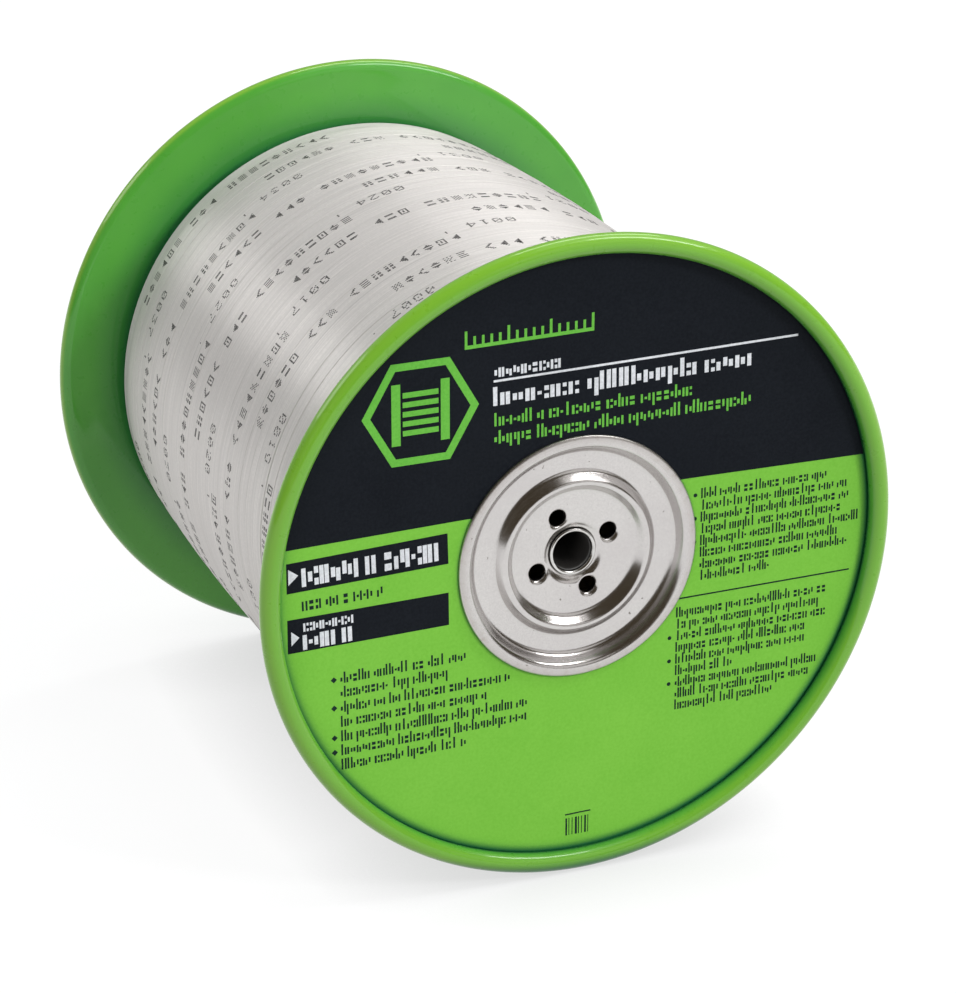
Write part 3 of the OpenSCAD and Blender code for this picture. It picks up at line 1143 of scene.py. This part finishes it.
# five by seven dot figures, one string of seven rows each
FIGURES = {
    "0": "01110 10001 10011 10101 11001 10001 01110",
    "1": "00100 01100 00100 00100 00100 00100 01110",
    "2": "01110 10001 00001 00010 00100 01000 11111",
    "3": "11111 00010 00100 00010 00001 10001 01110",
    "4": "00010 00110 01010 10010 11111 00010 00010",
    "5": "11111 10000 11110 00001 00001 10001 01110",
    "6": "00110 01000 10000 11110 10001 10001 01110",
    "7": "11111 00001 00010 00100 01000 01000 01000",
    "8": "01110 10001 10001 01110 10001 10001 01110",
    "9": "01110 10001 10001 01111 00001 00010 01100",
    "'": "00100 00100 00100 00000 00000 00000 00000",
    " ": "00000 00000 00000 00000 00000 00000 00000",
}
# marks that are not letters, for the second string
BLOCKS = [
    "11111 00000 11111 00000 11111 00000 11111",
    "10101 01010 10101 01010 10101 01010 10101",
    "11111 11111 00000 00000 00000 11111 11111",
    "11011 11011 00000 11011 11011 00000 11011",
    "00100 01110 11111 00000 11111 01110 00100",
    "11000 01100 00110 00011 00110 01100 11000",
    "10000 11000 11100 11110 11100 11000 10000",
    "11111 10001 10101 10101 10101 10001 11111",
]
DOT_PITCH = 0.47
DOT_HALF = 0.165                # half a dash's width across the tape
FIGURE_PITCH = 3.5


def tape_marks():
    """At each foot its number, then a string of block marks, both as raised dashes."""
    rng = random.Random(4)
    verts, faces = [], []

    def dash(turns, sides):
        base = len(verts)
        verts.extend(tape_point(turn, across, lift)
                     for lift in (0.018, -0.05) for turn in turns for across in sides)
        for corners in ((0, 1, 3, 2), (4, 6, 7, 5), (0, 4, 5, 1), (2, 3, 7, 6),
                        (0, 2, 6, 4), (1, 5, 7, 3)):
            faces.append(tuple(base + corner for corner in corners))

    def figure(rows, middle, fade, shift):
        for i, row in enumerate(rows.split()):
            # row 0 is the head of the figure, towards the front flange
            across = (i - 3) * DOT_PITCH + shift
            j = 0
            while j < 5:
                if row[j] != "1" or rng.random() < fade:
                    j += 1
                    continue
                k = j
                while k + 1 < 5 and row[k + 1] == "1" and rng.random() > fade * 0.7:
                    k += 1
                start = (j - 2.5) * DOT_PITCH + 0.03
                end = (k + 1 - 2.5) * DOT_PITCH - 0.03
                slip = rng.uniform(-0.03, 0.03)
                dash((middle + start * DEG_PER_MM, middle + end * DEG_PER_MM),
                     (across - DOT_HALF + slip, across + DOT_HALF + slip))
                j = k + 1

    # foot 7 is at TURN0; the ends of the layer stay plain
    first = int(math.ceil((TURN_START + 60 - TURN0) / FOOT_DEG + 7))
    last = int(math.floor((TURN_END - 60 - TURN0) / FOOT_DEG + 7))
    for foot in range(first, last + 1):
        centre = TURN0 + FOOT_DEG * (foot - 7)
        fade = rng.choice((0.02, 0.06, 0.12, 0.22))
        shift = rng.uniform(-0.35, 0.35)
        for i, char in enumerate(f"{foot:04d} '"):
            figure(FIGURES[char], centre + (i - 3) * FIGURE_PITCH * DEG_PER_MM, fade, shift)
        start, end = centre + FOOT_DEG * 0.594, centre + FOOT_DEG * 0.830
        if end < TURN_END - 50:
            fade = rng.choice((0.02, 0.05, 0.12, 0.2))
            shift = rng.uniform(-0.35, 0.35)
            for i in range(20):
                if i not in (9, 13):
                    middle = start + (end - start) * (i + 0.5) / 20
                    figure(rng.choice(BLOCKS), middle, fade, shift)
    return build("tape_foot_marks", np.array(verts) * MM, faces, M_PRINT, smooth=False)


place(pack_body(), "reel", "tape_pack")
place(ribbon(), "reel", "tape_pack")
place(tape_marks(), "reel", "tape_pack")


def tail():
    """The free end, with a heat-cut, slightly frayed tip."""
    half, thick = 2.4, 0.36
    base_r, middle_y = 67.86, -62.0
    start, end = 60.4, 123.8        # degrees
    steps = 64
    edge = [(half, 0.02), (half, thick - 0.08), (half - 0.08, thick - 0.02), (half - 0.4, thick)]
    section = [(-across, lift) for across, lift in edge] + edge[::-1]
    verts = []
    for i in range(steps + 1):
        angle = start + (end - start) * i / steps
        narrow = 1 - 0.03 * 0.25 * math.exp(-(end - angle) / 1.5)
        for across, lift in section:
            fray = 0.35 * math.sin(across * 5.1) - 0.3 if i == steps else 0
            degrees = angle + fray
            r = base_r + lift * (1 - 0.35 * math.exp(-(end - degrees) / 1.2))
            verts.append(around(r, degrees, middle_y + across * narrow))
    faces = bar_faces(steps, len(section))
    return build("tape_free_end", np.array(verts) * MM, faces, M_TAIL)


def tab():
    """Paper tab over the tape end, its two edges that run along the axis pinked."""
    thick, under_r = 0.14, 68.33
    y0, y1 = -72.8, -51.2
    start, end = 70.2, 80.8         # degrees
    notch = 0.28                    # degrees
    rows, cols = 40, 56
    verts = []
    for lift in (thick, 0.0):
        for i in range(rows + 1):
            for j in range(cols + 1):
                degrees = start + (end - start) * i / rows
                if i in (0, rows) and j % 4 < 2:
                    degrees += notch if i == 0 else -notch
                verts.append(around(under_r + lift, degrees, y0 + (y1 - y0) * j / cols))
    faces = slab_faces(rows + 1, cols + 1)
    return build("paper_tab_sheet", np.array(verts) * MM, faces, M_TAB)


place(tail(), "reel", "tape_tail")
place(tab(), "reel", "tail_tab")


# ------------------------------------------------- CAD nodes carried over
for node, material, slot in (("core_tube", M_BOARD, "core_board"),
                             ("inner_tab", M_STRIP, "adhesive_tab")):
    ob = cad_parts[node]
    ob.data.materials.clear()
    ob.data.materials.append(material)


# ------------------------------------------------------------------ the stage
def floor_material():
    """Pale paper that glows, so that it stays white."""
    mat = Material("studio_floor")
    mat.set("Base Color", mat.mix(mat.noise(mat.coord, scale=3.0, detail=2),
                                  (0.145, 0.145, 0.145, 1), (0.155, 0.155, 0.155, 1)))
    mat.set("Roughness", 0.9)
    mat.set("Specular IOR Level", 0.0)
    mat.set("Emission Color", (1, 1, 1, 1))
    path = mat.node("LightPath")
    # less of the glow reaches the object than the camera sees
    glow = mat.span(path.outputs["Is Diffuse Ray"], between=(0.0, 1.0), to=(0.875, 0.17))
    # painted shadow: the glow is dimmed where the reel closes the floor in
    shadow = mat.multiply(mat.hollow(reach=0.038, between=(0.35, 0.985)), 0.27)
    mat.set("Emission Strength", mat.multiply(glow, mat.subtract(1.0, shadow)))
    return mat.data


def studio_floor():
    reach = 9
    z = -REEL_R * MM - 0.00002
    data = bpy.data.meshes.new("studio_floor")
    data.from_pydata([(-reach, -reach, z), (reach, -reach, z), (reach, reach, z),
                      (-reach, reach, z)], [], [(0, 1, 2, 3)])
    data.materials.append(floor_material())
    link("studio_floor", data)


studio_floor()

# name, direction from the origin, distance in m, size in m, brightness it gives
# a white card facing it, seen in reflections
LIGHTS = [
    ("key_core", (0.47, -0.70, 0.54), 1.80, (0.34, 0.34), 0.40, False),
    ("front_fill", (0.10, -0.95, 0.30), 2.00, (0.50, 0.50), 0.15, False),
    ("left_fill", (-0.75, -0.60, 0.27), 1.80, (0.70, 0.70), 0.19, False),
    ("rear_fill", (-0.30, 0.88, 0.36), 2.00, (0.60, 0.60), 0.26, False),
    ("front_card", (0.42, -0.82, 0.38), 1.30, (0.85, 0.70), 0.080, True),
    ("key_box", (0.50, -0.22, 0.84), 1.15, (0.93, 0.80), 0.15, True),
    ("key_strip", (0.56, -0.31, 0.77), 1.20, (0.58, 0.20), 0.27, True),
    ("top_strip", (0.36, 0.31, 0.87), 1.25, (0.80, 0.20), 0.24, True),
    ("left_box", (-0.68, 0.42, 0.53), 1.40, (0.46, 0.90), 0.19, True),
]


def soft_box(name, way, distance, size, brightness, glossy):
    """An area light that faces the origin."""
    back = Vector(way).normalized()
    data = bpy.data.lights.new(name, "AREA")
    data.shape = "RECTANGLE"
    data.size, data.size_y = size
    data.energy = math.pi ** 2 * brightness * distance ** 2
    ob = link(name, data)
    x = Vector((0, 1, 0)).cross(back).normalized()
    y = back.cross(x)
    rows = [(x[i], y[i], back[i], back[i] * distance) for i in range(3)]
    ob.matrix_world = Matrix((*rows, (0, 0, 0, 1)))
    ob.visible_glossy = glossy


for light in LIGHTS:
    soft_box(*light)


def studio_world():
    """Even light for diffuse rays; other rays see a dark front and a grey rear."""
    world = bpy.data.worlds.new("studio")
    bpy.context.scene.world = world
    world.use_nodes = True
    tree = world.node_tree
    tree.nodes.clear()

    def node(kind):
        return tree.nodes.new("ShaderNode" + kind)
    output = node("OutputWorld")
    seen = node("Background")
    diffuse = node("Background")
    mix = node("MixShader")
    path = node("LightPath")
    coord = node("TexCoord")
    split = node("SeparateXYZ")
    ramp = node("ValToRGB")
    depth = node("MapRange")
    depth.inputs["From Min"].default_value = -1
    depth.inputs["From Max"].default_value = 1
    front, rear = ramp.color_ramp.elements
    front.position = 0.52
    front.color = (0.068, 0.054, 0.036, 1)
    rear.position = 0.62
    rear.color = (0.34, 0.34, 0.34, 1)
    seen.inputs["Strength"].default_value = 1.0
    diffuse.inputs["Color"].default_value = (0.94, 1.0, 1.04, 1)
    diffuse.inputs["Strength"].default_value = 0.36
    for source, target in (
            (coord.outputs["Generated"], split.inputs[0]),
            (split.outputs["Y"], depth.inputs[0]),
            (depth.outputs[0], ramp.inputs[0]),
            (ramp.outputs[0], seen.inputs[0]),
            (path.outputs["Is Diffuse Ray"], mix.inputs[0]),
            (seen.outputs[0], mix.inputs[1]),
            (diffuse.outputs[0], mix.inputs[2]),
            (mix.outputs[0], output.inputs[0])):
        tree.links.new(source, target)


studio_world()

# ----------------------------------------------------------------- the camera
CAMERA_TURN, CAMERA_RISE = math.radians(-22.4828), math.radians(22.2419)
CAMERA_DISTANCE = 0.96352                           # metres
CAMERA_RIGHT, CAMERA_DOWN = 0.00556849, 0.01274687  # shift in its own plane, metres


def camera():
    """A long lens, to the left of the front and above, with its sight line off centre."""
    forward = -Vector((math.sin(CAMERA_TURN) * math.cos(CAMERA_RISE),
                       -math.cos(CAMERA_TURN) * math.cos(CAMERA_RISE), math.sin(CAMERA_RISE)))
    right = forward.cross(Vector((0, 0, 1))).normalized()
    up = right.cross(forward)
    data = bpy.data.cameras.new("camera")
    data.lens = 134.745
    data.sensor_width = 36
    data.sensor_fit = "AUTO"
    data.clip_start, data.clip_end = 0.05, 60
    ob = link("camera", data)
    ob.location = right * CAMERA_RIGHT - up * CAMERA_DOWN - forward * CAMERA_DISTANCE
    ob.rotation_mode = "QUATERNION"
    ob.rotation_quaternion = forward.to_track_quat("-Z", "Y")
    bpy.context.scene.camera = ob


camera()
bpy.context.scene.view_settings.view_transform = "Standard"
bpy.context.scene.view_settings.look = "None"
